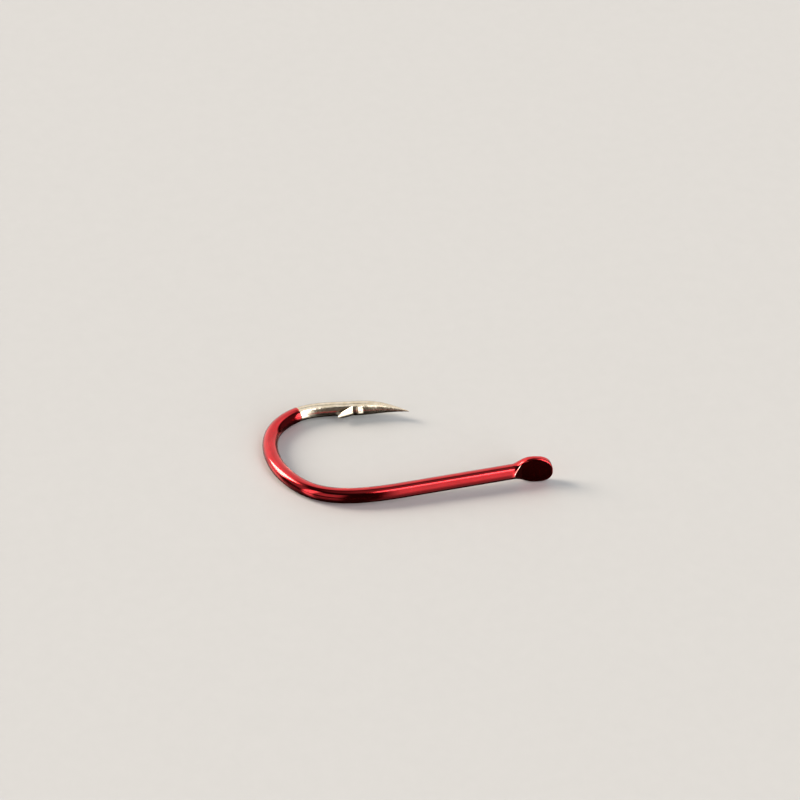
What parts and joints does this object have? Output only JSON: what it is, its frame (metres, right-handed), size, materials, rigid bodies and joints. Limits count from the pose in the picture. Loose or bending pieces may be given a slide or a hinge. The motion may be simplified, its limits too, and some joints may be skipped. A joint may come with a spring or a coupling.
{
  "type": "fishing hook",
  "caption": "Barbed spade-end fishing hook with a straight shank, round bend and in-curved needle point; red lacquer on shank and bend, bare nickel on the point.",
  "frame": {"origin": "on the shank axis at the spade shoulder, where the round shank ends and the spade begins", "axes": "+X along the shank towards the spade's free end, +Y across the gape from the shank to the point, +Z square to the plane of the hook"},
  "size_m": [0.0214, 0.0124, 0.0024],
  "materials": {
    "steel": "hardened high-carbon spring steel, hidden under the finishes",
    "nickel": "bright warm nickel, polished",
    "red_lacquer": "translucent red lacquer over bright metal, high gloss"
  },
  "bodies": {
    "root": {"steel_wire": "steel", "nickel_plating": "nickel", "lacquer_coat": "red_lacquer"}
  },
  "joints": []
}
